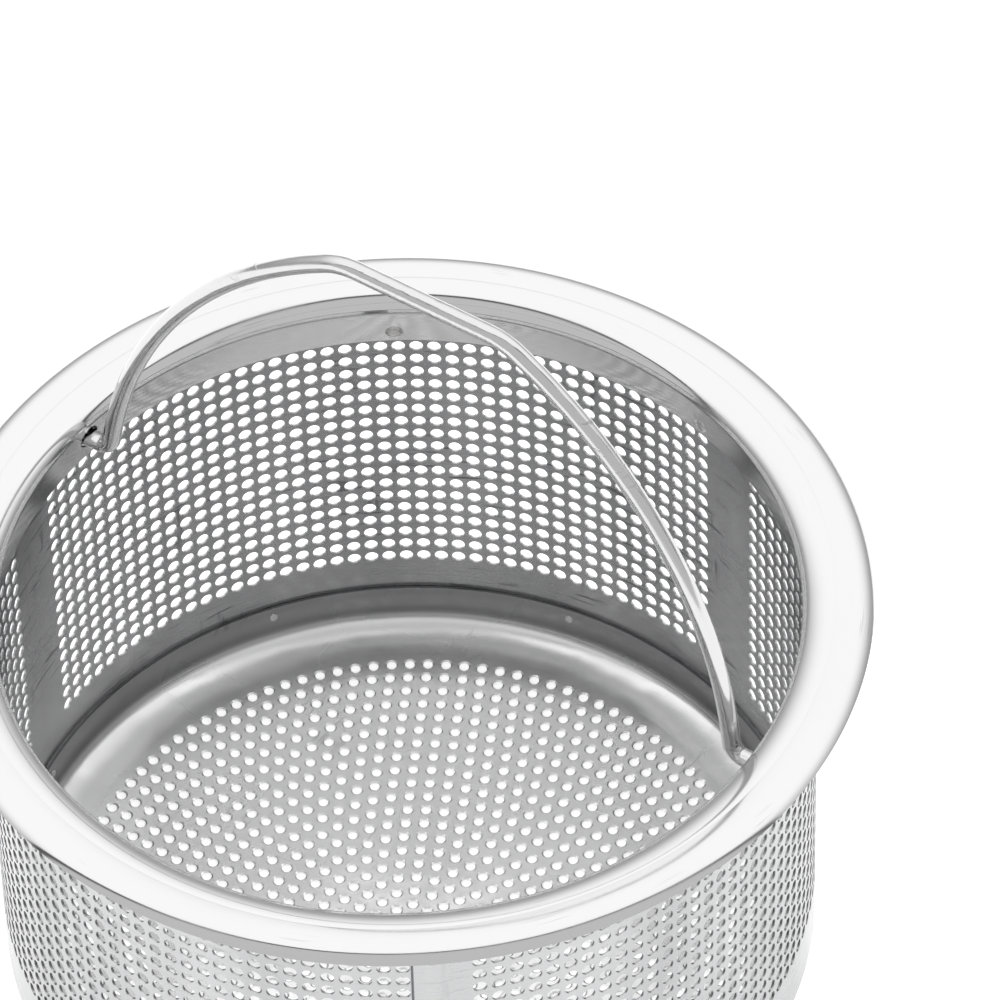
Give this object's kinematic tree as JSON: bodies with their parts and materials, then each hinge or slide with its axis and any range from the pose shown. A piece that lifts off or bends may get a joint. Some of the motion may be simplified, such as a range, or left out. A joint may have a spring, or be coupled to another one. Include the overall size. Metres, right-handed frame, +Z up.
{
  "type": "sink waste basket strainer",
  "caption": "Lift-out basket strainer for a sink waste: flanged rim with collar, perforated rolled wall, perforated floor pan and a swinging wire bail.",
  "frame": {"origin": "centre of the basket's axis on the underside of the floor pan, the lowest point", "axes": "+Z up along the basket's axis, X parallel to the bail's hinge line, +Y towards the side to which the hinge line is offset and the bail leans"},
  "size_m": [0.11, 0.11, 0.1025],
  "materials": {
    "rim_steel": "polished stainless steel, spun, fine turning lines",
    "wall_sheet": "bright-rolled stainless sheet with faint rolling streaks",
    "floor_sheet": "pressed stainless sheet, electropolished",
    "bail_wire": "drawn stainless wire, polished, with lengthwise die lines",
    "weld_metal": "dull spot-weld metal"
  },
  "bodies": {
    "basket": {"rim_ring": "rim_steel", "side_wall": "wall_sheet", "floor_pan": "floor_sheet", "collar_weld_1": "weld_metal", "collar_weld_2": "weld_metal", "collar_weld_3": "weld_metal", "collar_weld_4": "weld_metal", "collar_weld_5": "weld_metal", "collar_weld_6": "weld_metal", "seam_weld_1": "weld_metal", "seam_weld_2": "weld_metal", "seam_weld_3": "weld_metal", "seam_weld_4": "weld_metal", "seam_weld_5": "weld_metal", "floor_weld_1": "weld_metal", "floor_weld_2": "weld_metal", "floor_weld_3": "weld_metal", "floor_weld_4": "weld_metal", "floor_weld_5": "weld_metal", "floor_weld_6": "weld_metal", "floor_weld_7": "weld_metal", "floor_weld_8": "weld_metal"},
    "bail": {"bail": "bail_wire"}
  },
  "joints": [
    {"name": "bail_swing", "type": "hinge", "parent": "basket", "child": "bail", "pos_m": [0, 0.0036, 0.0548], "axis": [1, 0, 0], "range_deg": [-77, 240]}
  ]
}
